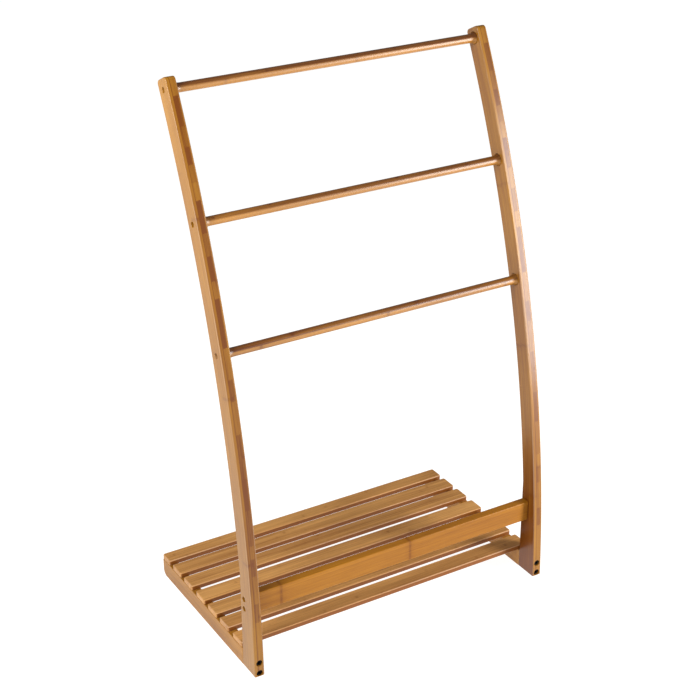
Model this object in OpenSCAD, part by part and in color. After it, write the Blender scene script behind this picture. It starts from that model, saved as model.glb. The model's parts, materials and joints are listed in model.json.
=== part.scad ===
// Free-standing bamboo towel rack: two curved posts, three round towel rails,
// a low stretcher board and a seven-slat shelf on two side rails.
// +X runs along the rails, +Y from the posts to the front of the shelf, +Z up.
// The origin is on the floor, under the middle of the rack's box.

/* [Overall] */
// Width over the outer faces of the two posts
overall_w = 500; // [400:10:700]
// Height of the top of the posts above the floor
overall_h = 820; // [680:10:1000]
// Depth from the back of the posts' feet to the front of the shelf
overall_d = 304; // [250:1:380]

/* [Posts and side rails] */
// Thickness of the board that the posts and side rails are cut from
board_t = 15; // [12:0.5:20]
// Depth of a post, square to its curve
post_depth = 28; // [24:0.5:36]
// Depth of a post's straight heel, where the side rail butts against it
heel_depth = 37; // [32:0.5:46]
// Radius of the back edge of a post
bend_r = 1960; // [1600:20:2600]
// Forward lean of a post's back edge at the floor, in degrees
foot_lean = 1; // [0:0.5:3]
// Rounding of the corners at the top end of a post
top_r = 6; // [2:0.5:8]
// Rounding of the long edges of every board
arris_r = 1.5; // [0.5:0.25:2.5]

/* [Towel rails] */
// Diameter of a towel rail
rail_d = 13; // [10:0.5:18]
// Distance along the curve from the top end of a post to the top rail
rail_end_gap = 15; // [13:0.5:30]
// Distance along the curve from one rail to the next
rail_pitch = 176; // [140:1:215]
// Growth of a rail's radius where it meets a post
flare_rise = 2; // [1:0.25:3]
// Radius of the hollow curve that forms the flare
flare_cove_r = 20; // [10:1:30]
// Depth of the socket in a post that takes the end of a rail
socket_depth = 3; // [2:0.5:4]
// Gap all round between a rail's end and its socket
socket_gap = 0.5; // [0.2:0.1:0.8]

/* [Stretcher] */
// Height of the stretcher board
stretcher_h = 32; // [26:0.5:45]
// Thickness of the stretcher board
stretcher_t = 14; // [11:0.5:18]
// Height of the underside of the stretcher above the floor
stretcher_z = 94; // [75:1:140]
// Distance of the stretcher's front face behind the front of the heels
stretcher_setback = 3; // [1:0.5:6]

/* [Shelf] */
// Height of a side rail
side_rail_h = 28; // [27:0.5:36]
// Rounding of the lower front corner of a side rail
side_rail_nose_r = 10; // [4:0.5:14]
// Width of the front slat
front_slat_w = 25; // [20:0.5:32]
// Width of each of the other slats
slat_w = 29; // [24:0.5:32]
// Thickness of a slat
slat_t = 8.5; // [5.5:0.5:10]
// Rounding of a slat's corners, seen from above
slat_corner_r = 3; // [2:0.5:5]
// How much wider the gaps behind the third and sixth slats are than the others
wide_gap_extra = 3; // [0:0.5:5]
// Gap between the last slat and the posts
slat_post_gap = 2; // [1:0.5:4]

/* [Fixings] */
// Shank diameter of the wood screws
screw_d = 4; // [3:0.25:5]
// Head diameter of the wood screws
screw_head_d = 7; // [6:0.25:9]
// Gap all round between a screw or bolt head and its counterbore
head_gap = 0.5; // [0.25:0.25:0.75]
// Depth of the counterbores in the posts' outer faces
screw_sink = 5; // [4:0.5:6]
// Length of a screw that holds a towel rail or the stretcher
long_screw_l = 32; // [25:1:40]
// Distance between the two screws at one end of the stretcher
stretcher_screw_pitch = 16; // [12:0.5:18]
// Wood left between a slat screw's head and the slat
slat_screw_grip = 12; // [8:0.5:14]
// Depth that a slat screw goes into its slat
slat_screw_bite = 4.5; // [3:0.5:5]
// Shank diameter of the foot bolts
bolt_d = 5; // [4:0.5:6]
// Head diameter of the foot bolts
bolt_head_d = 9; // [7:0.5:9]
// Height of a foot bolt's head
bolt_head_h = 5; // [4:0.5:6]
// Depth of the foot bolts' counterbores below the back of the foot
bolt_sink = 7; // [6:0.5:9]
// Height of the lower foot bolt above the floor
bolt_floor_gap = 5.7; // [5.5:0.1:7]
// Distance of the upper foot bolt below the top of the side rail
bolt_top_gap = 5.4; // [5:0.1:8]
// Outer diameter of the threaded inserts in the side rails
insert_d = 7; // [6.5:0.25:7.5]
// Length of the threaded inserts
insert_l = 11; // [8:0.5:11]

/* [Hidden] */
$fn = 64;
long_arc_fn = 720;
overlap = 1;

LEFT = -1;
RIGHT = 1;
slat_count = 7;
rail_count = 3;

post_x = overall_w / 2 - board_t / 2;
inner_x = overall_w / 2 - board_t;
foot_y = -overall_d / 2;
heel_y = foot_y + heel_depth;
shelf_front_y = overall_d / 2;
shelf_top_z = side_rail_h + slat_t;

// The posts' curve has its centre at (bend_y, bend_z), ahead of the posts.
bend_y = foot_y + bend_r * cos(foot_lean);
bend_z = -bend_r * sin(foot_lean);
mid_r = bend_r - post_depth / 2;
front_r = bend_r - post_depth;
// A top corner's centre lies just under its radius inside the faces that it
// rounds, so that the rounding crosses them at a clean edge.
top_corner_in = top_r - 0.1;
back_corner_r = bend_r - top_corner_in;
back_corner_angle = asin((overall_h - top_r - bend_z) / back_corner_r);
end_angle = back_corner_angle + asin(top_corner_in / back_corner_r);
// Where the curve's front edge crosses the front of the heel, and how far the
// heel runs on up inside the curved part
heel_top_z = bend_z + sqrt(front_r ^ 2 - (bend_y - heel_y) ^ 2);
heel_run_in = 30;

// Arc length along the middle of a post to the angle it spans at the centre
function span_angle(length) = length / mid_r * 180 / PI;
function mid_y(angle) = bend_y - mid_r * cos(angle);
function mid_z(angle) = bend_z + mid_r * sin(angle);
rail_angles = [
  for (i = [0:rail_count - 1])
    end_angle - span_angle(rail_end_gap + i * rail_pitch)
];

flare_l = sqrt(2 * flare_cove_r * flare_rise - flare_rise ^ 2);
rail_end_r = rail_d / 2 + flare_rise;
socket_r = rail_end_r + socket_gap;
rail_half_l = inner_x + socket_depth;

stretcher_y = heel_y - stretcher_setback - stretcher_t / 2;
stretcher_mid_z = stretcher_z + stretcher_h / 2;
stretcher_screw_zs = [for (s = [-1, 1]) stretcher_mid_z + s * stretcher_screw_pitch / 2];

// Slats are counted from the front, and stand in groups of three with a wider
// gap behind each group.
slats_w = front_slat_w + (slat_count - 1) * slat_w;
gaps_w = shelf_front_y - heel_y - slat_post_gap - slats_w;
slat_gap = (gaps_w - wide_gaps(slat_count) * wide_gap_extra) / (slat_count - 1);
function wide_gaps(n) = floor((n - 1) / 3);
function slat_width(n) = n == 1 ? front_slat_w : slat_w;
function slat_back_y(n) =
  shelf_front_y - front_slat_w - (n - 1) * (slat_w + slat_gap) - wide_gaps(n) * wide_gap_extra;
function slat_y(n) = slat_back_y(n) + slat_width(n) / 2;

screw_head_h = (screw_head_d - screw_d) / 2;
counterbore_r = screw_head_d / 2 + head_gap;
slat_screw_head_z = side_rail_h - slat_screw_grip;
drive_w = screw_head_d * 0.14;
drive_l = screw_head_d * 0.6;
drive_depth = screw_head_h * 0.8;

bolt_zs = [bolt_floor_gap, side_rail_h - bolt_top_gap];
bolt_sink_r = bolt_head_d / 2 + head_gap;
bolt_end_y = heel_y + insert_l;
hex_key_d = bolt_head_d * 0.55;
hex_key_depth = bolt_head_h * 0.6;

light_bamboo = [0.83, 0.63, 0.41];
honey_bamboo = [0.76, 0.56, 0.33];
dark_bamboo = [0.62, 0.40, 0.19];
zinc = [0.45, 0.40, 0.36];
black_steel = [0.13, 0.10, 0.09];
brass = [0.72, 0.58, 0.30];

// Rectangle centred on the origin with rounded corners
module rounded_rect(w, h, r) {
  square([w - 2 * r, h], center = true);
  square([w, h - 2 * r], center = true);
  for (x = [-1, 1], y = [-1, 1])
    translate([x * (w / 2 - r), y * (h / 2 - r)]) circle(r);
}

// Puts children in the plane of the posts' curve: a point at radius r and
// angle a from +X in its XY plane lies on the curve of that radius.
module bend_frame() {
  translate([0, bend_y, bend_z]) rotate([90, 0, -90]) children();
}

module along_x(x, y, z) {
  translate([x, y, z]) rotate([0, 90, 0]) children();
}

module along_y(x, y, z) {
  translate([x, y, z]) rotate([-90, 0, 0]) children();
}

// Curved length of a post, from just below the floor to its top end
module post_sweep() {
  bend_frame()
    rotate_extrude(start = 0, angle = end_angle, $fn = long_arc_fn)
      translate([mid_r, 0]) rounded_rect(post_depth, board_t, arris_r);
}

// What rounds one top corner of a post. The corner's centre is at radius r from
// the curve's centre, and side is 1 at the back of the post and -1 at the front.
module top_corner_cut(r, side) {
  bend_frame()
    rotate([0, 0, end_angle - asin(top_corner_in / r)])
      translate([r, 0, 0])
        linear_extrude(board_t + 2 * overlap, center = true)
          difference() {
            translate([side > 0 ? 0 : -2 * top_r, 0]) square(2 * top_r);
            circle(top_r);
          }
}

// Straight front of the foot, blended into the curve from the middle forward
module post_heel() {
  intersection() {
    translate([0, foot_y + heel_depth / 2, 0])
      linear_extrude(heel_top_z + heel_run_in) rounded_rect(board_t, heel_depth, arris_r);
    bend_frame()
      cylinder(r = mid_r, h = board_t + overlap, center = true, $fn = long_arc_fn);
  }
}

// Holes in one post, seen with its outer face on side s of its middle
module post_holes(s) {
  inner_face = -s * board_t / 2;
  for (a = rail_angles) {
    translate([inner_face, mid_y(a), mid_z(a)])
      rotate([0, 90, 0])
        cylinder(r = socket_r, h = 2 * socket_depth, center = true);
    screw_hole(s, mid_y(a), mid_z(a));
  }
  for (z = stretcher_screw_zs)
    screw_hole(s, stretcher_y, z);
  for (z = bolt_zs) {
    along_y(0, foot_y - overlap, z) cylinder(r = bolt_sink_r, h = bolt_sink + overlap);
    along_y(0, foot_y, z) cylinder(d = bolt_d, h = heel_depth + overlap);
  }
}

// Counterbore in the outer face, with a clearance hole on through the post
module screw_hole(s, y, z) {
  translate([s * board_t / 2, y, z]) rotate([0, 90, 0]) {
    cylinder(r = counterbore_r, h = 2 * screw_sink, center = true);
    cylinder(d = screw_d, h = 3 * board_t, center = true);
  }
}

module post(s) {
  color(light_bamboo)
    translate([s * post_x, 0, 0])
      difference() {
        union() {
          post_sweep();
          post_heel();
        }
        top_corner_cut(back_corner_r, 1);
        top_corner_cut(front_r + top_corner_in, -1);
        translate([-board_t, foot_y - post_depth, bend_z - post_depth])
          cube([2 * board_t, 3 * heel_depth, post_depth - bend_z]);
        post_holes(s);
      }
}

// Half outline of a rail, from its middle to one end, for turning
module rail_half_outline() {
  cove_z = inner_x - flare_l;
  square([rail_d / 2, rail_half_l]);
  difference() {
    translate([0, cove_z]) square([rail_end_r, rail_half_l - cove_z]);
    translate([rail_d / 2 + flare_cove_r, cove_z]) circle(flare_cove_r, $fn = 256);
  }
}

module towel_rail(angle) {
  color(dark_bamboo)
    along_x(0, mid_y(angle), mid_z(angle))
      difference() {
        for (s = [0, 1]) mirror([0, 0, s]) rotate_extrude() rail_half_outline();
        for (s = [-1, 1])
          translate([0, 0, s * (overall_w / 2 - screw_sink)])
            cylinder(d = screw_d, h = 2 * long_screw_l, center = true);
      }
}

module stretcher() {
  color(honey_bamboo)
    difference() {
      along_x(-inner_x, stretcher_y, stretcher_mid_z)
        linear_extrude(2 * inner_x) rounded_rect(stretcher_h, stretcher_t, arris_r);
      for (s = [-1, 1], z = stretcher_screw_zs)
        along_x(s * (overall_w / 2 - screw_sink), stretcher_y, z)
          cylinder(d = screw_d, h = 2 * long_screw_l, center = true);
    }
}

// Side view of a side rail, with Y to the front and Z up
module side_rail_outline() {
  length = shelf_front_y - heel_y;
  difference() {
    square([length, side_rail_h]);
    translate([length - side_rail_nose_r, -overlap])
      square([side_rail_nose_r + overlap, side_rail_nose_r + overlap]);
  }
  translate([length - side_rail_nose_r, side_rail_nose_r]) circle(side_rail_nose_r);
}

module side_rail(s) {
  color(light_bamboo)
    difference() {
      translate([s * post_x - board_t / 2, heel_y, 0])
        rotate([90, 0, 90]) linear_extrude(board_t) side_rail_outline();
      for (z = bolt_zs)
        along_y(s * post_x, heel_y - overlap, z)
          cylinder(d = insert_d, h = insert_l + overlap);
      for (n = [1:slat_count]) {
        translate([s * post_x, slat_y(n), -overlap])
          cylinder(r = counterbore_r, h = slat_screw_head_z + overlap);
        translate([s * post_x, slat_y(n), 0]) cylinder(d = screw_d, h = side_rail_h + overlap);
      }
    }
}

// Slat n, with its long edges and its corners rounded
module slat(n) {
  color(honey_bamboo)
    translate([0, slat_y(n), side_rail_h])
      difference() {
        intersection() {
          along_x(-overall_w / 2, 0, slat_t / 2)
            linear_extrude(overall_w) rounded_rect(slat_t, slat_width(n), arris_r);
          translate([0, 0, -overlap])
            linear_extrude(slat_t + 2 * overlap)
              rounded_rect(overall_w, slat_width(n), slat_corner_r);
        }
        for (s = [-1, 1])
          translate([s * post_x, 0, -overlap])
            cylinder(d = screw_d, h = slat_screw_bite + overlap);
      }
}

// Wood screw with its tip up: the underside of its head is at the origin
module screw(shank_l) {
  difference() {
    union() {
      cylinder(d = screw_d, h = shank_l);
      translate([0, 0, -screw_head_h])
        cylinder(d1 = screw_head_d, d2 = screw_d, h = screw_head_h);
    }
    for (turn = [0, 90])
      rotate([0, 0, turn])
        translate([0, 0, -screw_head_h])
          cube([drive_l, drive_w, 2 * drive_depth], center = true);
  }
}

// Screw through a post from its outer face on side s, pointing inward
module post_screw(s, y, z) {
  color(zinc)
    translate([s * (overall_w / 2 - screw_sink), y, z])
      rotate([0, -s * 90, 0]) screw(long_screw_l);
}

module rail_screws(s) {
  for (a = rail_angles) post_screw(s, mid_y(a), mid_z(a));
}

module stretcher_screws(s) {
  for (z = stretcher_screw_zs) post_screw(s, stretcher_y, z);
}

module slat_screws(s) {
  color(zinc)
    for (n = [1:slat_count])
      translate([s * post_x, slat_y(n), slat_screw_head_z])
        screw(slat_screw_grip + slat_screw_bite);
}

module foot_bolts(s) {
  color(black_steel)
    for (z = bolt_zs)
      along_y(s * post_x, foot_y + bolt_sink, z)
        difference() {
          union() {
            translate([0, 0, -bolt_head_h]) cylinder(d = bolt_head_d, h = bolt_head_h);
            cylinder(d = bolt_d, h = bolt_end_y - foot_y - bolt_sink);
          }
          translate([0, 0, -bolt_head_h])
            cylinder(d = hex_key_d, h = 2 * hex_key_depth, center = true, $fn = 6);
        }
}

module bolt_inserts(s) {
  color(brass)
    for (z = bolt_zs)
      along_y(s * post_x, heel_y, z)
        difference() {
          cylinder(d = insert_d, h = insert_l);
          translate([0, 0, -overlap]) cylinder(d = bolt_d, h = insert_l + 2 * overlap);
        }
}

post(LEFT);  // left_post
post(RIGHT);  // right_post
towel_rail(rail_angles[0]);  // top_rail
towel_rail(rail_angles[1]);  // middle_rail
towel_rail(rail_angles[2]);  // lower_rail
stretcher();
side_rail(LEFT);  // left_side_rail
side_rail(RIGHT);  // right_side_rail
slat(1);  // slat_1
slat(2);  // slat_2
slat(3);  // slat_3
slat(4);  // slat_4
slat(5);  // slat_5
slat(6);  // slat_6
slat(7);  // slat_7
rail_screws(LEFT);  // left_rail_screws
rail_screws(RIGHT);  // right_rail_screws
stretcher_screws(LEFT);  // left_stretcher_screws
stretcher_screws(RIGHT);  // right_stretcher_screws
foot_bolts(LEFT);  // left_foot_bolts
foot_bolts(RIGHT);  // right_foot_bolts
bolt_inserts(LEFT);  // left_bolt_inserts
bolt_inserts(RIGHT);  // right_bolt_inserts
slat_screws(LEFT);  // left_slat_screws
slat_screws(RIGHT);  // right_slat_screws
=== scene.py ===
"""Looks of a bamboo towel rack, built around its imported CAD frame.

Every length is in metres, in the frame's own axes: +X along the rails, +Y from
the posts to the front of the shelf, +Z up. Each piece stands for one CAD node.
"""
import json
from math import asin, atan2, ceil, cos, pi, radians, sin, sqrt

import bmesh
import bpy
from mathutils import Matrix, Vector


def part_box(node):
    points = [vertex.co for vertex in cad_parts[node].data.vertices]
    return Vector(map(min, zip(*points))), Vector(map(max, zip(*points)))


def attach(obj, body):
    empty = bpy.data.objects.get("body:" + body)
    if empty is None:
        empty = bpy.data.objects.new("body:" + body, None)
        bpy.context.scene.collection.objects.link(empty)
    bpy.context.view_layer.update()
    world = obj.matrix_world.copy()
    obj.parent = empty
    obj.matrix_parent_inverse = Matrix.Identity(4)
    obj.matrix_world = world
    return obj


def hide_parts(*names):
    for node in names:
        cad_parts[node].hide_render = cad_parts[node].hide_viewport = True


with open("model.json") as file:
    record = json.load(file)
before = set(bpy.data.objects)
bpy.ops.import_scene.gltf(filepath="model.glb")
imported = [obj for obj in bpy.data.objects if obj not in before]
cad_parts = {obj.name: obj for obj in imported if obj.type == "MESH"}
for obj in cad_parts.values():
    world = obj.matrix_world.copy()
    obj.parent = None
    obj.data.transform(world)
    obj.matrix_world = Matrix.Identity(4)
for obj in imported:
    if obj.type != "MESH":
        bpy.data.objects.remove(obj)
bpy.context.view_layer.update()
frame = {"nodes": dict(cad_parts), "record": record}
MM = 0.001

# ---------------------------------------------------------------- sizes
# The posts' curve, as the CAD model's own driving dimensions give it
BEND_R = 1960 * MM
FOOT_LEAN = radians(1)
POST_DEPTH = 28 * MM
TOP_R = 5.9 * MM
ARRIS_R = 1.5 * MM
SOFT_EDGE = 0.8 * MM
NOSE_R = 10 * MM
NOSE_EDGE = 1 * MM
SLAT_CORNER_R = 3 * MM

# Fixings, also as in the CAD model
SCREW_D = 4 * MM
SCREW_HEAD_D = 7 * MM
SCREW_HEAD_H = 1.5 * MM
COUNTERBORE_R = 4 * MM
SCREW_SINK = 5 * MM
SOCKET_DEPTH = 3 * MM
SOCKET_GAP = 0.5 * MM
BOLT_D = 5 * MM
BOLT_HEAD_D = 9 * MM
BOLT_HEAD_H = 5 * MM
BOLT_SINK = 7 * MM
BOLT_SINK_R = 5 * MM
SLAT_SCREW_GRIP = 12 * MM
LIP = 0.3 * MM
HOLE_PLAY = 0.05 * MM

SIDES = (("left", -1), ("right", 1))
RAIL_NAMES = ("top_rail", "middle_rail", "lower_rail")
SLAT_NAMES = tuple(f"slat_{n}" for n in range(1, 8))

# What the frame says
post_low, post_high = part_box("left_post")
side_low, side_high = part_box("left_side_rail")
BOARD_T = post_high.x - post_low.x
HALF_W = -post_low.x
INNER_X = HALF_W - BOARD_T
POST_X = HALF_W - BOARD_T / 2
FOOT_Y = post_low.y
HEEL_Y = side_low.y
TOP_Z = post_high.z
SIDE_RAIL_H = side_high.z
SHELF_TOP_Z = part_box("slat_1")[1].z
SHELF_FRONT_Y = side_high.y

BEND_Y = FOOT_Y + BEND_R * cos(FOOT_LEAN)
BEND_Z = -BEND_R * sin(FOOT_LEAN)
FRONT_R = BEND_R - POST_DEPTH
MID_R = BEND_R - POST_DEPTH / 2
BACK_CORNER_R = BEND_R - TOP_R
BACK_CORNER_ANGLE = asin((TOP_Z - TOP_R - BEND_Z) / BACK_CORNER_R)
END_ANGLE = BACK_CORNER_ANGLE + asin(TOP_R / BACK_CORNER_R)
FRONT_CORNER_R = FRONT_R + TOP_R
FRONT_CORNER_ANGLE = END_ANGLE - asin(TOP_R / FRONT_CORNER_R)


def middle(node):
    """Middle of a CAD node's box."""
    low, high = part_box(node)
    return (low + high) / 2


def solid_middles(node):
    """Middle of the box of each separate solid in a CAD node, lowest first."""
    mesh = frame["nodes"][node].data
    bm = bmesh.new()
    bm.from_mesh(mesh)
    bmesh.ops.remove_doubles(bm, verts=bm.verts, dist=0.01 * MM)
    left = set(bm.verts)
    found = []
    while left:
        island = [left.pop()]
        for vert in island:
            for edge in vert.link_edges:
                other = edge.other_vert(vert)
                if other in left:
                    left.remove(other)
                    island.append(other)
        spans = [[v.co[k] for v in island] for k in range(3)]
        found.append(Vector([(min(s) + max(s)) / 2 for s in spans]))
    bm.free()
    return sorted(found, key=lambda p: (round(p.z, 4), round(p.y, 4)))


# ---------------------------------------------------------------- mesh making
def new_object(name, bm):
    """A mesh object made from bm, with its normals facing out."""
    bmesh.ops.remove_doubles(bm, verts=bm.verts, dist=0.001 * MM)
    bmesh.ops.recalc_face_normals(bm, faces=bm.faces)
    mesh = bpy.data.meshes.new(name)
    bm.to_mesh(mesh)
    bm.free()
    made = bpy.data.objects.new(name, mesh)
    bpy.context.scene.collection.objects.link(made)
    return made


def inset(outline, distance):
    """The closed outline moved in by distance, square to its edges."""
    moved = []
    count = len(outline)
    for i, point in enumerate(outline):
        before = (Vector(point) - Vector(outline[i - 1])).normalized()
        after = (Vector(outline[(i + 1) % count]) - Vector(point)).normalized()
        normal = Vector((-before.y - after.y, before.x + after.x)).normalized()
        stretch = max(0.3, normal.dot(Vector((-after.y, after.x))))
        moved.append(Vector(point) + normal * (distance / stretch))
    return moved


def arc(centre, radius, start, end, steps):
    """Points on an arc in a plane, both ends included, angles in degrees."""
    angles = [radians(start + (end - start) * k / steps) for k in range(steps + 1)]
    return [(centre[0] + radius * cos(a), centre[1] + radius * sin(a)) for a in angles]


def rounded_rectangle(low, high, radius, steps=4):
    """Anticlockwise outline of a rectangle with rounded corners, from its low corner."""
    (u0, v0), (u1, v1) = low, high
    return (
        arc((u0 + radius, v0 + radius), radius, 180, 270, steps)
        + arc((u1 - radius, v0 + radius), radius, 270, 360, steps)
        + arc((u1 - radius, v1 - radius), radius, 0, 90, steps)
        + arc((u0 + radius, v1 - radius), radius, 90, 180, steps)
    )


def board(outline, start, end, edge, place, steps=4):
    """bmesh of a board: an anticlockwise outline drawn out from start to end.

    Its end edges are rounded by edge, and place(u, v, w) gives a point's place.
    The arris attribute is 1 on what is rounded, for the worn look and the painted arris highlight.
    """
    bm = bmesh.new()
    arris = bm.verts.layers.float.new("arris")
    turns = [pi / 2 * k / steps for k in range(steps + 1)]
    rings = [(edge * (1 - sin(t)), start + edge * (1 - cos(t)), sin(t)) for t in turns]
    rings += [(edge * (1 - sin(t)), end - edge * (1 - cos(t)), sin(t)) for t in reversed(turns)]
    made = []
    for depth, along, turn in rings:
        points = inset(outline, depth)
        ring = [bm.verts.new(place(p[0], p[1], along)) for p in points]
        for vert in ring:
            vert[arris] = sin(2 * asin(min(1, turn)))
        made.append(ring)
    count = len(outline)
    for lower, upper in zip(made, made[1:]):
        for i in range(count):
            j = (i + 1) % count
            bm.faces.new((lower[i], lower[j], upper[j], upper[i]))
    for ring in (made[0], made[-1]):
        for i in range(count // 2 - 1):
            bm.faces.new((ring[i], ring[i + 1], ring[count - 2 - i], ring[count - 1 - i]))
    return bm


def lathe(profile, place, segments=48, bm=None):
    """bmesh of a turned solid. The profile is a list of (radius, along)."""
    bm = bm or bmesh.new()
    rings = []
    for radius, along in profile:
        if radius < 1e-7:
            rings.append([bm.verts.new(place(0, 0, along))] * segments)
            continue
        angles = [2 * pi * k / segments for k in range(segments)]
        rings.append([bm.verts.new(place(radius * cos(a), radius * sin(a), along)) for a in angles])
    for lower, upper in zip(rings, rings[1:]):
        for i in range(segments):
            corners = []
            for vert in (lower[i - 1], lower[i], upper[i], upper[i - 1]):
                if vert not in corners:
                    corners.append(vert)
            if len(corners) > 2:
                bm.faces.new(corners)
    return bm


def along_x(x, y, z, way=1):
    """Places (u, v, w) with w running along X from x, forward or back."""
    return lambda u, v, w: (x + way * w, y + u, z + way * v)


def along_y(x, y, z):
    return lambda u, v, w: (x + u, y + w, z - v)


def along_z(x, y, z):
    return lambda u, v, w: (x + u, y + v, z + w)


def evaluated(piece):
    """Applies the piece's modifiers to its mesh."""
    depsgraph = bpy.context.evaluated_depsgraph_get()
    mesh = bpy.data.meshes.new_from_object(piece.evaluated_get(depsgraph), depsgraph=depsgraph)
    piece.modifiers.clear()
    old = piece.data
    piece.data = mesh
    mesh.name = piece.name
    bpy.data.meshes.remove(old)


def cut(piece, cutters):
    """Cuts a bmesh of closed solids out of the piece."""
    tool = new_object("cutter", cutters)
    boolean = piece.modifiers.new("cut", "BOOLEAN")
    boolean.object = tool
    boolean.operation = "DIFFERENCE"
    boolean.solver = "EXACT"
    evaluated(piece)
    bpy.data.meshes.remove(tool.data)


def smooth(piece, angle=32):
    """Smooth faces, with sharp edges past the angle and flats kept flat."""
    mesh = piece.data
    mesh.polygons.foreach_set("use_smooth", [True] * len(mesh.polygons))
    mesh.set_sharp_from_angle(angle=radians(angle))
    weighted = piece.modifiers.new("flats", "WEIGHTED_NORMAL")
    weighted.keep_sharp = True
    evaluated(piece)


def finish_piece(piece, node, material):
    """Gives the piece its finish and lets it stand for its CAD node."""
    smooth(piece)
    piece.data.materials.clear()
    piece.data.materials.append(material)
    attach(piece, "root")
    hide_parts(node)


# ---------------------------------------------------------------- boards
def bend_point(radius, angle):
    """(y, z) of a point on the posts' curve."""
    return BEND_Y - radius * cos(angle), BEND_Z + radius * sin(angle)


def spread(start, end, steps):
    """Values from start to end, both ends included."""
    return [start + (end - start) * k / steps for k in range(steps + 1)]


def post_outline():
    """Side view of a post as (y, z): down the back, then up the front."""
    heel_r = BEND_Y - HEEL_Y
    heel_angle = atan2(sqrt(FRONT_R ** 2 - heel_r ** 2), heel_r)
    foot_angle = atan2(-BEND_Z, heel_r)
    corner = ARRIS_R / BEND_R
    back_angles = spread(FOOT_LEAN + corner, heel_angle, 8)
    back_angles += spread(heel_angle, BACK_CORNER_ANGLE, 44)[1:]
    front_angles = spread(foot_angle + corner, heel_angle, 8)
    front_angles += spread(heel_angle, FRONT_CORNER_ANGLE, 44)[1:]
    back = arc((FOOT_Y + ARRIS_R, ARRIS_R), ARRIS_R, 270, 180, 3)[:-1]
    back += [bend_point(BEND_R, a) for a in back_angles]
    back += top_corner(BACK_CORNER_R, BACK_CORNER_ANGLE, 180, 90)[1:]
    front = arc((HEEL_Y - ARRIS_R, ARRIS_R), ARRIS_R, 270, 360, 3)[:-1]
    front += [bend_point(min(FRONT_R, heel_r / cos(a)), a) for a in front_angles]
    front += top_corner(FRONT_CORNER_R, FRONT_CORNER_ANGLE, 0, 90)[1:]
    return list(reversed(back)) + front


def top_corner(radius, angle, start, end):
    """Rounded corner at the top end of a post, square to the curve there."""
    tilt = -END_ANGLE * 180 / pi
    return arc(bend_point(radius, angle), TOP_R, start + tilt, end + tilt, 8)


def hole(place, stages, bm):
    """A stepped round cutter: stages of (radius, depth) from the face inward."""
    first = stages[0][0]
    profile = [(0, -2 * MM), (first + 2 * LIP, -2 * MM), (first + 2 * LIP, -LIP), (first, LIP)]
    before = 0
    for radius, depth in stages:
        if before:
            profile.append((radius, before))
        profile.append((radius, depth))
        before = depth
    profile.append((0, before))
    lathe(profile, place, segments=40, bm=bm)


def make_post(side, way, material):
    outline = post_outline()
    low = way * POST_X - BOARD_T / 2
    bm = board(outline, low, low + BOARD_T, ARRIS_R, lambda u, v, w: (w, u, v))
    piece = new_object(f"{side}_post_board", bm)
    outer_x = way * HALF_W
    shank_r = SCREW_D / 2 + HOLE_PLAY
    cutters = bmesh.new()
    for name in RAIL_NAMES:
        rail = middle(name)
        flare_r = (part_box(name)[1].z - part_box(name)[0].z) / 2
        inner = along_x(way * INNER_X, rail.y, rail.z, way)
        hole(inner, [(flare_r + SOCKET_GAP, SOCKET_DEPTH)], cutters)
        outer = along_x(outer_x, rail.y, rail.z, -way)
        hole(outer, [(COUNTERBORE_R, SCREW_SINK), (shank_r, BOARD_T - SOCKET_DEPTH / 2)], cutters)
    for point in solid_middles(f"{side}_stretcher_screws"):
        outer = along_x(outer_x, point.y, point.z, -way)
        hole(outer, [(COUNTERBORE_R, SCREW_SINK), (shank_r, BOARD_T + 2 * MM)], cutters)
    bolt_r = BOLT_D / 2 + HOLE_PLAY
    for point in solid_middles(f"{side}_foot_bolts"):
        back = along_y(point.x, FOOT_Y, point.z)
        reach = HEEL_Y - FOOT_Y + 2 * MM
        hole(back, [(BOLT_SINK_R, BOLT_SINK), (bolt_r, reach)], cutters)
    cut(piece, cutters)
    finish_piece(piece, f"{side}_post", material)


def make_side_rail(side, way, material):
    nose = arc((side_high.y - NOSE_R, NOSE_R), NOSE_R, 270, 360, 10)
    e = NOSE_EDGE
    outline = nose[:]
    outline += arc((side_high.y - e, SIDE_RAIL_H - e), e, 0, 90, 3)
    outline += arc((HEEL_Y + e, SIDE_RAIL_H - e), e, 90, 180, 3)
    outline += arc((HEEL_Y + e, e), e, 180, 270, 10)
    low = way * POST_X - BOARD_T / 2
    bm = board(outline, low, low + BOARD_T, e, lambda u, v, w: (w, u, v))
    piece = new_object(f"{side}_side_rail_board", bm)
    insert_low, insert_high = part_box(f"{side}_bolt_inserts")
    insert_r = (insert_high.x - insert_low.x) / 2
    cutters = bmesh.new()
    for point in solid_middles(f"{side}_bolt_inserts"):
        back = along_y(point.x, HEEL_Y, point.z)
        hole(back, [(insert_r + HOLE_PLAY, insert_high.y - HEEL_Y)], cutters)
    shank_r = SCREW_D / 2 + HOLE_PLAY
    for point in solid_middles(f"{side}_slat_screws"):
        below = along_z(point.x, point.y, 0)
        head = SIDE_RAIL_H - SLAT_SCREW_GRIP
        hole(below, [(COUNTERBORE_R, head), (shank_r, SIDE_RAIL_H + 2 * MM)], cutters)
    cut(piece, cutters)
    finish_piece(piece, f"{side}_side_rail", material)


def make_slat(node, material):
    low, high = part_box(node)
    outline = rounded_rectangle((low.x, low.y), (high.x, high.y), SLAT_CORNER_R, steps=6)
    bm = board(outline, low.z, high.z, ARRIS_R, lambda u, v, w: (u, v, w))
    piece = new_object(f"{node}_board", bm)
    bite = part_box("left_slat_screws")[1].z - SIDE_RAIL_H
    cutters = bmesh.new()
    for way in (-1, 1):
        below = along_z(way * POST_X, (low.y + high.y) / 2, low.z)
        hole(below, [(SCREW_D / 2 + HOLE_PLAY, bite + HOLE_PLAY)], cutters)
    cut(piece, cutters)
    finish_piece(piece, node, material)


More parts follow.
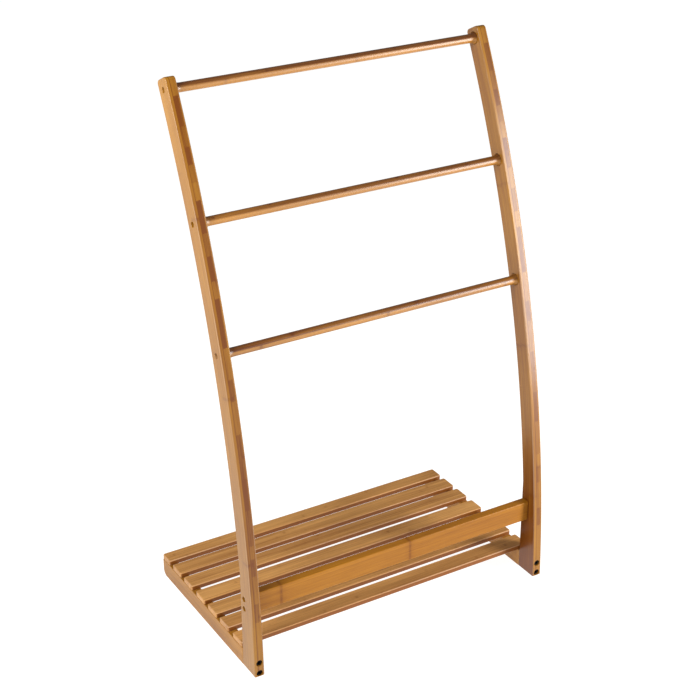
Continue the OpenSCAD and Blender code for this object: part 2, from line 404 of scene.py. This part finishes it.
def make_stretcher(material):
    low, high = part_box("stretcher")
    outline = rounded_rectangle((low.y, low.z), (high.y, high.z), ARRIS_R)
    bm = board(outline, low.x, high.x, SOFT_EDGE, lambda u, v, w: (w, u, v))
    piece = new_object("stretcher_board", bm)
    cutters = bmesh.new()
    for side, way in SIDES:
        screw_low, screw_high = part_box(f"{side}_stretcher_screws")
        reach = HALF_W - BOARD_T - min(abs(screw_low.x), abs(screw_high.x))
        for point in solid_middles(f"{side}_stretcher_screws"):
            end = along_x(way * INNER_X, point.y, point.z, -way)
            hole(end, [(SCREW_D / 2 + HOLE_PLAY, reach + HOLE_PLAY)], cutters)
    cut(piece, cutters)
    finish_piece(piece, "stretcher", material)


# ---------------------------------------------------------------- towel rails
def make_rail(node, material):
    low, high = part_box(node)
    centre = middle(node)
    radius = frame_mount(f"{node}_grip")["dims"]["r_mm"] * MM
    end_r = (high.z - low.z) / 2
    rise = end_r - radius
    cove_r = 20 * MM
    flare_l = sqrt(2 * cove_r * rise - rise ** 2)
    sweep = asin(flare_l / cove_r)
    flare = [
        (radius + cove_r * (1 - cos(a)), INNER_X - flare_l + cove_r * sin(a))
        for a in spread(0, sweep, 8)
    ]
    screw_low, screw_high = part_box("left_rail_screws")
    bore_end = min(abs(screw_low.x), abs(screw_high.x))
    bore_r = SCREW_D / 2 + HOLE_PLAY
    half = [(radius, x) for x in spread(0, INNER_X - flare_l, 12)[:-1]] + flare
    half += [(end_r, high.x - LIP), (end_r - LIP, high.x), (bore_r, high.x)]
    half += [(bore_r, bore_end), (0, bore_end)]
    profile = [(r, -x) for r, x in reversed(half)] + half[1:]
    bm = lathe(profile, along_x(0, centre.y, centre.z), segments=64)
    piece = new_object(f"{node}_dowel", bm)
    finish_piece(piece, node, material)


def frame_mount(name):
    """The record's mount of that name."""
    return next(m for m in frame["record"]["mounts"] if m["name"] == name)


# ---------------------------------------------------------------- fixings
def thread(place, start, end, crest_r, pitch, bm, segments=16, point=0.0):
    """A closed threaded rod from start to end. Its last length, point, tapers."""
    core_r = crest_r - 0.45 * pitch
    per_turn = 6
    rows = ceil((end - start) / pitch * per_turn)
    rings = []
    for row in range(rows + 1):
        along = start + (end - start) * row / rows
        fade = min(1, (end - along) / point) if point else 1
        ends = min(1, (along - start) / pitch, (end - along) / pitch)
        ring = []
        for k in range(segments):
            phase = (along / pitch - k / segments) % 1
            rise = max(0, 1 - abs(phase - 0.5) * 3) * max(0, ends)
            radius = (core_r + (crest_r - core_r) * rise) * (0.25 + 0.75 * fade)
            turn = 2 * pi * k / segments
            ring.append(bm.verts.new(place(radius * cos(turn), radius * sin(turn), along)))
        rings.append(ring)
    for lower, upper in zip(rings, rings[1:]):
        for i in range(segments):
            bm.faces.new((lower[i - 1], lower[i], upper[i], upper[i - 1]))
    bm.faces.new(rings[0])
    bm.faces.new(list(reversed(rings[-1])))


def wood_screw(place, length, bm):
    """A countersunk screw: head underside at 0, tip at length."""
    head_r, shank_r, rim = SCREW_HEAD_D / 2, SCREW_D / 2, 0.25 * MM
    smooth_l = min(0.3 * length, 10 * MM)
    profile = [
        (0, -SCREW_HEAD_H),
        (head_r - 0.1 * MM, -SCREW_HEAD_H),
        (head_r, -SCREW_HEAD_H + 0.1 * MM),
        (head_r, -SCREW_HEAD_H + rim),
        (shank_r, 0),
        (shank_r, smooth_l),
        (shank_r - 0.5 * MM, smooth_l + 0.5 * MM),
        (0, smooth_l + 0.5 * MM),
    ]
    lathe(profile, place, segments=32, bm=bm)
    thread(place, smooth_l + 0.3 * MM, length, shank_r, 1.8 * MM, bm, segments=12, point=4 * MM)


def cross_recess(place, bm):
    """Cutter for a cross drive: two tapered blades meeting on the axis."""
    top, bottom = 0.3 * SCREW_HEAD_D, 0.12 * SCREW_HEAD_D
    thick = 0.07 * SCREW_HEAD_D
    high, low = -SCREW_HEAD_H - 1 * MM, -0.25 * SCREW_HEAD_H
    outline = []
    for k in range(4):
        turn = k * pi / 2
        for u, v in ((thick, thick), (1, thick), (1, -thick)):
            outline.append((turn, u, v))
    rings = []
    for reach, level in ((top, high), (bottom, low)):
        ring = []
        for turn, u, v in outline:
            u = reach if u == 1 else u
            x, y = u * cos(turn) - v * sin(turn), u * sin(turn) + v * cos(turn)
            ring.append(bm.verts.new(place(x, y, level)))
        rings.append(ring)
    count = len(outline)
    for i in range(count):
        bm.faces.new((rings[0][i - 1], rings[0][i], rings[1][i], rings[1][i - 1]))
    bm.faces.new(rings[0])
    bm.faces.new(list(reversed(rings[1])))


def make_screws(node, places, length, material):
    bm = bmesh.new()
    cutters = bmesh.new()
    for place in places:
        wood_screw(place, length, bm)
        cross_recess(place, cutters)
    piece = new_object(f"{node}_set", bm)
    cut(piece, cutters)
    finish_piece(piece, node, material)


def make_foot_bolts(side, material):
    node = f"{side}_foot_bolts"
    low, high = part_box(node)
    head_r, shank_r = BOLT_HEAD_D / 2, BOLT_D / 2
    face = -BOLT_HEAD_H
    shank_l = high.y - FOOT_Y - BOLT_SINK
    neck_l, chamfer, thread_start = 18 * MM, 0.4 * MM, 18.2 * MM
    bm = bmesh.new()
    cutters = bmesh.new()
    for point in solid_middles(node):
        place = along_y(point.x, FOOT_Y + BOLT_SINK, point.z)
        rim = arc((face + 0.8 * MM, head_r - 0.8 * MM), 0.8 * MM, 180, 90, 5)
        profile = [(0, face)] + [(r, w) for w, r in rim]
        profile += [(head_r, -0.2 * MM), (head_r - 0.2 * MM, 0), (shank_r, 0)]
        profile += [(shank_r, neck_l), (shank_r - chamfer, neck_l + chamfer)]
        profile.append((0, neck_l + chamfer))
        lathe(profile, place, segments=48, bm=bm)
        thread(place, thread_start, shank_l, shank_r, 0.8 * MM, bm, segments=16, point=0)
        key_r = 0.275 * BOLT_HEAD_D
        key = [(0, face - 1 * MM), (key_r + 1 * MM, face - 1 * MM), (key_r, face + 0.3 * MM)]
        key += [(key_r, face + 3 * MM), (0, face + 3.6 * MM)]
        lathe(key, place, segments=6, bm=cutters)
    piece = new_object(f"{node}_set", bm)
    cut(piece, cutters)
    finish_piece(piece, node, material)


def make_inserts(side, material):
    node = f"{side}_bolt_inserts"
    low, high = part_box(node)
    outer_r = (high.x - low.x) / 2
    inner_r = BOLT_D / 2 + HOLE_PLAY
    length = high.y - low.y
    ridges = 5
    bm = bmesh.new()
    for point in solid_middles(node):
        place = along_y(point.x, low.y, point.z)
        profile = [(inner_r, 0), (outer_r - LIP, 0), (outer_r, LIP)]
        for k in range(ridges):
            start = LIP + (k + 0.4) * (length - 2 * LIP) / ridges
            end = LIP + (k + 0.9) * (length - 2 * LIP) / ridges
            profile += [(outer_r, start), (outer_r - 0.4 * MM, (start + end) / 2), (outer_r, end)]
        profile += [(outer_r, length - LIP), (outer_r - LIP, length), (inner_r, length)]
        profile.append((inner_r, 0))
        lathe(profile, place, segments=32, bm=bm)
    piece = new_object(f"{node}_set", bm)
    finish_piece(piece, node, material)


# ---------------------------------------------------------------- materials
def srgb(red, green, blue):
    """A colour given as 0 to 255 display values, as linear RGBA."""
    shares = [c / 255 for c in (red, green, blue)]
    linear = [c / 12.92 if c <= 0.04045 else ((c + 0.055) / 1.055) ** 2.4 for c in shares]
    return (*linear, 1)


class Shader:
    """Short calls that add nodes to one material."""

    def __init__(self, name):
        self.material = bpy.data.materials.new(name)
        self.material.use_nodes = True
        self.nodes = self.material.node_tree.nodes
        self.links = self.material.node_tree.links
        self.nodes.clear()

    def feed(self, socket, value):
        if isinstance(value, bpy.types.NodeSocket):
            self.links.new(value, socket)
        elif value is not None:
            socket.default_value = value

    def node(self, kind, inputs=(), **settings):
        made = self.nodes.new(kind)
        for name, value in settings.items():
            setattr(made, name, value)
        for key, value in dict(inputs).items():
            self.feed(made.inputs[key], value)
        return made

    def math(self, operation, a, b=None, c=None, clamp=False):
        made = self.node("ShaderNodeMath", operation=operation, use_clamp=clamp)
        for socket, value in zip(made.inputs, (a, b, c)):
            self.feed(socket, value)
        return made.outputs[0]

    def smooth(self, value, start, end):
        """0 before start, 1 past end, and a smooth rise between them."""
        made = self.node("ShaderNodeMapRange", interpolation_type="SMOOTHSTEP")
        for socket, number in zip(made.inputs, (value, start, end, 0.0, 1.0)):
            self.feed(socket, number)
        return made.outputs[0]

    def mix(self, share, a, b):
        made = self.node("ShaderNodeMix", data_type="RGBA")
        self.feed(made.inputs[0], share)
        self.feed(made.inputs[6], a)
        self.feed(made.inputs[7], b)
        return made.outputs[2]

    def vector(self, x=0.0, y=0.0, z=0.0):
        return self.node("ShaderNodeCombineXYZ", {"X": x, "Y": y, "Z": z}).outputs[0]

    def noise(self, vector, scale=1.0, detail=2.0, roughness=0.5):
        inputs = {"Vector": vector, "Scale": scale, "Detail": detail, "Roughness": roughness}
        return self.node("ShaderNodeTexNoise", inputs).outputs[0]

    def white(self, vector):
        """A random number for each value of the vector."""
        return self.node("ShaderNodeTexWhiteNoise", {"Vector": vector}).outputs[0]

    def steps(self, value, stops):
        """A flat value for each stretch: stops of (start, value) from 0 to 1."""
        ramp = self.node("ShaderNodeValToRGB", {"Fac": value})
        ramp.color_ramp.interpolation = "CONSTANT"
        elements = ramp.color_ramp.elements
        while len(elements) < len(stops):
            elements.new(1.0)
        for element, (start, level) in zip(elements, stops):
            element.position = start
            element.color = (level, level, level, 1)
        return ramp.outputs[0]

    def surface(self, inputs):
        shader = self.node("ShaderNodeBsdfPrincipled", inputs)
        self.node("ShaderNodeOutputMaterial", {"Surface": shader.outputs[0]})
        return self.material


def grain_axes(shader, run):
    """Places in metres along the grain, across the strips and across the plies."""
    point = shader.node("ShaderNodeTexCoord").outputs["Object"]
    axes = shader.node("ShaderNodeSeparateXYZ", {"Vector": point})
    x, y, z = axes.outputs[0], axes.outputs[1], axes.outputs[2]
    if run == "x":
        return x, y, z
    if run == "y":
        return y, z, x
    ahead = shader.math("SUBTRACT", BEND_Y, y)
    above = shader.math("SUBTRACT", z, BEND_Z)
    squares = shader.math("ADD", shader.math("MULTIPLY", ahead, ahead),
                          shader.math("MULTIPLY", above, above))
    radius = shader.math("SQRT", squares)
    length = shader.math("MULTIPLY", shader.math("ARCTAN2", above, ahead), MID_R)
    return length, radius, x


def stretched(shader, along, across, through, run_scale, cross_scale):
    """Noise coordinates drawn out along the grain."""
    return shader.vector(
        shader.math("MULTIPLY", along, run_scale),
        shader.math("MULTIPLY", across, cross_scale),
        shader.math("MULTIPLY", through, cross_scale),
    )


def bamboo(name, run, light, dark, strip_w, ply_w, node_gap, gloss,
           strip_contrast=0.22, node_strength=0.5, node_phase=None, extra=None):
    """Laminated bamboo: strips side by side in plies, with fibres and node marks.

    The marks fall where chance puts them, or at node_phase, given as a share of
    node_gap for strip 0 and the further share that each next strip is moved by.
    """
    shader = Shader(name)
    along, across, through = grain_axes(shader, run)
    strips = shader.math("DIVIDE", across, strip_w)
    plies = shader.math("DIVIDE", through, ply_w)
    strip_number = shader.math("FLOOR", strips)
    ply_number = shader.math("FLOOR", plies)
    cell = shader.vector(strip_number, ply_number, 3.7)
    luck = shader.white(cell)
    other_luck = shader.white(shader.vector(ply_number, strip_number, 11.3))

    # Slow drift, streaks and fine fibres, all drawn out along the grain
    drift = shader.noise(stretched(shader, along, across, through, 4.5, 22), detail=2)
    streaks = shader.noise(stretched(shader, along, across, through, 7, 420), detail=3, roughness=0.65)
    fibres = shader.noise(stretched(shader, along, across, through, 28, 1900), detail=2, roughness=0.6)
    bundles = shader.noise(stretched(shader, along, across, through, 55, 3200), detail=1)
    dashes = shader.smooth(bundles, 0.60, 0.72)

    # Bamboo nodes cross each strip at its own places
    if node_phase:
        phase = shader.math("MULTIPLY_ADD", strip_number, node_phase[1], node_phase[0])
        strength = node_strength
    else:
        phase = shader.math("MULTIPLY", luck, 7.31)
        strength = shader.math("MULTIPLY", other_luck, node_strength)
    cycle = shader.math("ADD", shader.math("DIVIDE", along, node_gap), phase)
    wave = shader.math("FRACT", cycle)
    away = shader.math("MULTIPLY", shader.math("ABSOLUTE", shader.math("SUBTRACT", wave, 0.5)), node_gap)
    bend = shader.math("MULTIPLY", shader.math("SUBTRACT", streaks, 0.5), 3 * MM)
    away = shader.math("ADD", away, bend)
    line = shader.math("SUBTRACT", 1.0, shader.smooth(away, 0.6 * MM, 3.4 * MM))
    halo = shader.math("SUBTRACT", 1.0, shader.smooth(away, 2 * MM, 12 * MM))
    mark = shader.math("MULTIPLY_ADD", halo, 0.3, line)
    mark = shader.math("MULTIPLY", mark, strength)

    # Thin glue lines between strips
    seam = shader.math("ABSOLUTE", shader.math("SUBTRACT", shader.math("FRACT", strips), 0.5))
    seam = shader.smooth(seam, 0.5 - 0.35 * MM / strip_w, 0.5 - 0.1 * MM / strip_w)

    shade = shader.math("MULTIPLY", shader.math("SUBTRACT", luck, 0.5), strip_contrast)
    shade = shader.math("MULTIPLY_ADD", shader.math("SUBTRACT", drift, 0.5), 0.9, shade)
    shade = shader.math("MULTIPLY_ADD", shader.math("SUBTRACT", streaks, 0.5), 0.75, shade)
    shade = shader.math("MULTIPLY_ADD", shader.math("SUBTRACT", fibres, 0.5), 0.5, shade)
    shade = shader.math("MULTIPLY_ADD", dashes, 0.16, shade)
    shade = shader.math("MULTIPLY_ADD", mark, 0.8, shade)
    shade = shader.math("MULTIPLY_ADD", seam, 0.16, shade)
    # extra adds a shade of the piece's own: ply stretches, and painted shade on the post inner faces,
    # slat sides and rail tops
    if extra:
        shade = shader.math("ADD", shade, extra(shader, along, across, through))
    shade = shader.math("ADD", shade, 0.4, clamp=True)
    colour = shader.mix(shade, light, dark)

    # Arrises are made a little paler: partly rubbed wear, partly a painted highlight along the rounded
    # edges
    arris = shader.node("ShaderNodeAttribute", attribute_name="arris").outputs["Fac"]
    wear_and_painted_highlight = shader.math("MULTIPLY", arris, shader.smooth(drift, 0.3, 0.7))
    wear_and_painted_highlight = shader.math("MULTIPLY", wear_and_painted_highlight, 0.35)
    pale = tuple(0.35 + 0.65 * c for c in light[:3]) + (1,)
    colour = shader.mix(wear_and_painted_highlight, colour, pale)

    height = shader.math("MULTIPLY_ADD", fibres, 0.6, shader.math("MULTIPLY", streaks, 0.4))
    height = shader.math("MULTIPLY_ADD", line, 0.5, height)
    height = shader.math("MULTIPLY_ADD", seam, -0.4, height)
    bump = shader.node("ShaderNodeBump", {"Strength": 0.25, "Distance": 0.12 * MM, "Height": height})
    rough = shader.math("MULTIPLY_ADD", shader.math("SUBTRACT", fibres, 0.5), 0.16, gloss["roughness"])
    rough = shader.math("MULTIPLY_ADD", wear_and_painted_highlight, 0.25, rough)
    return shader.surface({
        "Base Color": colour,
        "Roughness": rough,
        "IOR": 1.5,
        "Specular IOR Level": gloss["specular"],
        "Coat Weight": gloss["coat"],
        "Coat Roughness": gloss["coat_roughness"],
        "Normal": bump.outputs[0],
    })


# Strip ends show as darker and paler stretches on the posts' middle ply. Each
# stop is where a stretch starts, as a share of the post's length, and its shade.
PLY_STRETCHES = (
    (0.0, 0.05), (0.105, 0.30), (0.14, 0.06), (0.19, 0.24), (0.22, 0.04),
    (0.245, 0.20), (0.305, 0.42), (0.36, 0.30), (0.40, 0.36), (0.435, 0.14),
    (0.49, 0.34), (0.525, 0.10), (0.575, 0.52), (0.655, 0.12), (0.68, 0.44),
    (0.72, 0.20), (0.755, 0.50), (0.805, -0.12), (0.835, 0.16), (0.86, 0.42),
    (0.89, 0.22), (0.92, 0.38), (0.965, 0.06),
)
POST_L = (END_ANGLE - FOOT_LEAN) * MID_R
OUTER_PLY = 5.2 * MM
MIDDLE_PLY = 7 * MM


def post_plies_and_painted_shade(shader, along, _across, through):
    """Shade of the middle ply and of the glue lines beside it, and a painted shade on the inner face."""
    board_low = shader.math("GREATER_THAN", through, 0.0)
    start = shader.math("MULTIPLY_ADD", board_low, HALF_W + INNER_X, -HALF_W)
    depth = shader.math("SUBTRACT", through, start)
    share = shader.math("DIVIDE", shader.math("SUBTRACT", along, FOOT_LEAN * MID_R), POST_L)
    wobble = shader.noise(shader.vector(shader.math("MULTIPLY", depth, 900), share), scale=1.0)
    share = shader.math("MULTIPLY_ADD", shader.math("SUBTRACT", wobble, 0.5), 0.006, share)
    stretches = shader.steps(share, PLY_STRETCHES)
    inside = shader.math("SUBTRACT", depth, OUTER_PLY)
    low_edge = shader.smooth(inside, -0.15 * MM, 0.15 * MM)
    high_edge = shader.smooth(inside, MIDDLE_PLY - 0.15 * MM, MIDDLE_PLY + 0.15 * MM)
    within = shader.math("SUBTRACT", low_edge, high_edge)
    shade = shader.math("MULTIPLY", stretches, within)
    for edge, strength in ((0.0, 0.42), (MIDDLE_PLY, 0.16)):
        away = shader.math("ABSOLUTE", shader.math("SUBTRACT", inside, edge))
        glue = shader.math("SUBTRACT", 1.0, shader.smooth(away, 0.2 * MM, 0.6 * MM))
        shade = shader.math("MULTIPLY_ADD", glue, strength, shade)
    # Painted shade: the inner faces are a darker strip, darkest beside the shelf
    inward = shader.math("SUBTRACT", shader.math("ABSOLUTE", through), INNER_X)
    inner = shader.math("SUBTRACT", 1.0, shader.smooth(inward, 0.2 * MM, 1.6 * MM))
    rise = shader.smooth(share, 0.0, 0.38)
    painted_inner_shade = shader.math("MULTIPLY_ADD", rise, -0.5, 0.75)
    return shader.math("MULTIPLY_ADD", inner, painted_inner_shade, shade)


def slat_painted_side_shade(shader, along, across, through):
    """Painted shade: the slats' long sides and undersides are darker brown than their tops, standing in
    for the shade in the gaps and under the shelf.
    """
    depth = shader.math("SUBTRACT", SHELF_TOP_Z, through)
    below = shader.smooth(depth, 0.7 * MM, 2.2 * MM)
    from_end = shader.math("SUBTRACT", HALF_W, shader.math("ABSOLUTE", along))
    from_front = shader.math("SUBTRACT", SHELF_FRONT_Y, across)
    away = shader.math("MINIMUM", from_end, from_front)
    return shader.math("MULTIPLY", below, shader.smooth(away, 0.5 * MM, 2.5 * MM))


def rail_painted_top_shade(axis_z):
    """Painted shade for one rail: darker above its axis than below, standing in for its less lit upper
    half.
    """
    def shade(shader, _along, _across, through):
        height = shader.math("SUBTRACT", through, axis_z)
        # Painted shade: the upper side of the rail is darkened, the lower side slightly lightened
        upper = shader.smooth(height, 0.5 * MM, 4.0 * MM)
        return shader.math("MULTIPLY_ADD", upper, 0.6, -0.18)
    return shade


def metal(name, colour, scratched, roughness):
    """Plated or blackened metal with fine turning marks and worn high spots."""
    shader = Shader(name)
    point = shader.node("ShaderNodeTexCoord").outputs["Object"]
    spots = shader.noise(point, scale=900.0, detail=3.0, roughness=0.6)
    fine = shader.noise(point, scale=6000.0, detail=2.0)
    worn = shader.smooth(spots, 0.5, 0.68)
    base = shader.mix(worn, colour, scratched)
    rough = shader.math("MULTIPLY_ADD", fine, 0.2, roughness)
    bump = shader.node("ShaderNodeBump", {"Strength": 0.2, "Distance": 0.03 * MM, "Height": fine})
    return shader.surface({
        "Base Color": base,
        "Metallic": 1.0,
        "Roughness": rough,
        "Normal": bump.outputs[0],
    })


SATIN = {"specular": 0.22, "roughness": 0.42, "coat": 0.12, "coat_roughness": 0.25}
SHEEN = {"specular": 0.3, "roughness": 0.36, "coat": 0.25, "coat_roughness": 0.2}
GLOSSY = {"specular": 0.45, "roughness": 0.4, "coat": 0.5, "coat_roughness": 0.3}

post_bamboo = bamboo(
    "post_bamboo", "arc", srgb(184, 130, 38), srgb(109, 56, 5), 14 * MM, 30 * MM,
    0.24, SHEEN, strip_contrast=0.1, node_strength=0.22, extra=post_plies_and_painted_shade)
side_bamboo = bamboo(
    "side_bamboo", "y", srgb(195, 138, 50), srgb(116, 60, 9), 14 * MM, 30 * MM,
    0.21, SATIN, strip_contrast=0.14, node_strength=0.3)
slat_bamboo = bamboo(
    "slat_bamboo", "x", srgb(228, 170, 99), srgb(134, 78, 28), 5.5 * MM, 9.5 * MM,
    0.27, SATIN, strip_contrast=0.2, node_strength=0.25, extra=slat_painted_side_shade)
stretcher_bamboo = bamboo(
    "stretcher_bamboo", "x", srgb(182, 120, 26), srgb(106, 52, 4), 39.5 * MM, 24 * MM,
    0.215, SATIN, strip_contrast=0.14, node_strength=0.32, node_phase=(-0.036, 0.14))
screw_zinc = metal("screw_zinc", srgb(84, 77, 70), srgb(126, 120, 112), 0.4)
bolt_black = metal("bolt_black", srgb(30, 26, 25), srgb(66, 60, 58), 0.4)
insert_brass = metal("insert_brass", srgb(186, 148, 80), srgb(214, 184, 122), 0.3)


# ---------------------------------------------------------------- the rack
for side, way in SIDES:
    make_post(side, way, post_bamboo)
    make_side_rail(side, way, side_bamboo)
    make_foot_bolts(side, bolt_black)
    make_inserts(side, insert_brass)
    head_x = way * (HALF_W - SCREW_SINK)
    for kind in ("rail", "stretcher"):
        node = f"{side}_{kind}_screws"
        low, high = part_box(node)
        reach = abs(high.x - low.x) - SCREW_HEAD_H
        points = solid_middles(node)
        make_screws(node, [along_x(head_x, p.y, p.z, -way) for p in points], reach, screw_zinc)
    node = f"{side}_slat_screws"
    low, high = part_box(node)
    head_z = low.z + SCREW_HEAD_H
    points = solid_middles(node)
    make_screws(node, [along_z(p.x, p.y, head_z) for p in points], high.z - head_z, screw_zinc)
for node in SLAT_NAMES:
    make_slat(node, slat_bamboo)
make_stretcher(stretcher_bamboo)
for node in RAIL_NAMES:
    # Each rail's material carries a painted shade on its upper half, set by its own axis
    rail_bamboo = bamboo(
        f"{node}_bamboo", "x", srgb(183, 125, 45), srgb(98, 50, 10), 7 * MM, 7 * MM,
        0.20, GLOSSY, strip_contrast=0.16, node_strength=0.5,
        extra=rail_painted_top_shade(middle(node).z))
    make_rail(node, rail_bamboo)


# ---------------------------------------------------------------- stage
def make_floor():
    """A wide floor under the rack. Its glow makes it white and hides most shadows."""
    shader = Shader("studio_floor")
    point = shader.node("ShaderNodeTexCoord").outputs["Object"]
    cloud = shader.noise(point, scale=1.5, detail=2.0)
    tone = shader.mix(cloud, (0.30, 0.30, 0.30, 1), (0.33, 0.33, 0.33, 1))
    material = shader.surface({
        "Base Color": tone, "Roughness": 0.9,
        "Emission Color": (1, 1, 1, 1), "Emission Strength": FLOOR_GLOW,
    })
    bm = bmesh.new()
    bmesh.ops.create_grid(bm, x_segments=1, y_segments=1, size=FLOOR_HALF)
    floor_piece = new_object("studio_floor", bm)
    floor_piece.location.z = -0.2 * MM
    floor_piece.data.materials.append(material)


def soft_light(name, place, target, width, height, watts):
    """A rectangular softbox at place, facing target."""
    data = bpy.data.lights.new(name, "AREA")
    data.shape = "RECTANGLE"
    data.size = width
    data.size_y = height
    data.energy = watts
    lamp = bpy.data.objects.new(name, data)
    bpy.context.scene.collection.objects.link(lamp)
    lamp.location = place
    facing = (Vector(target) - Vector(place)).to_track_quat("-Z", "Y")
    lamp.rotation_euler = facing.to_euler()


FLOOR_HALF = 20.0
FLOOR_GLOW = 0.95
WORLD_LIGHT = 0.19
make_floor()
RACK_MIDDLE = (0.0, -0.02, 0.4)
soft_light("side_left", (-1.9, -0.5, 0.8), RACK_MIDDLE, 1.2, 1.0, 10)
soft_light("top_left", (-1.05, -0.35, 1.25), RACK_MIDDLE, 0.7, 0.7, 14)
soft_light("rear_right", (1.0, -1.05, 0.6), RACK_MIDDLE, 0.4, 1.0, 23)

world = bpy.data.worlds.new("studio_world")
bpy.context.scene.world = world
world.use_nodes = True
background = world.node_tree.nodes["Background"]
background.inputs["Color"].default_value = (1, 1, 1, 1)
background.inputs["Strength"].default_value = WORLD_LIGHT

camera_data = bpy.data.cameras.new("camera")
camera = bpy.data.objects.new("camera", camera_data)
bpy.context.scene.collection.objects.link(camera)
bpy.context.scene.camera = camera
CAMERA_PLACE = Vector((-1.0545, -1.7653, 1.3988))
CAMERA_HEADING = radians(30.8)
CAMERA_TILT = radians(-26.18)
CAMERA_ROLL = radians(-0.2)
camera_data.lens = 81.4
camera_data.sensor_width = 36.0
camera.matrix_world = (
    Matrix.Translation(CAMERA_PLACE)
    @ Matrix.Rotation(-CAMERA_HEADING, 4, "Z")
    @ Matrix.Rotation(pi / 2 + CAMERA_TILT, 4, "X")
    @ Matrix.Rotation(CAMERA_ROLL, 4, "Z")
)
view = bpy.context.scene.view_settings
view.view_transform = "Standard"
view.look = "None"
view.exposure = 0.0
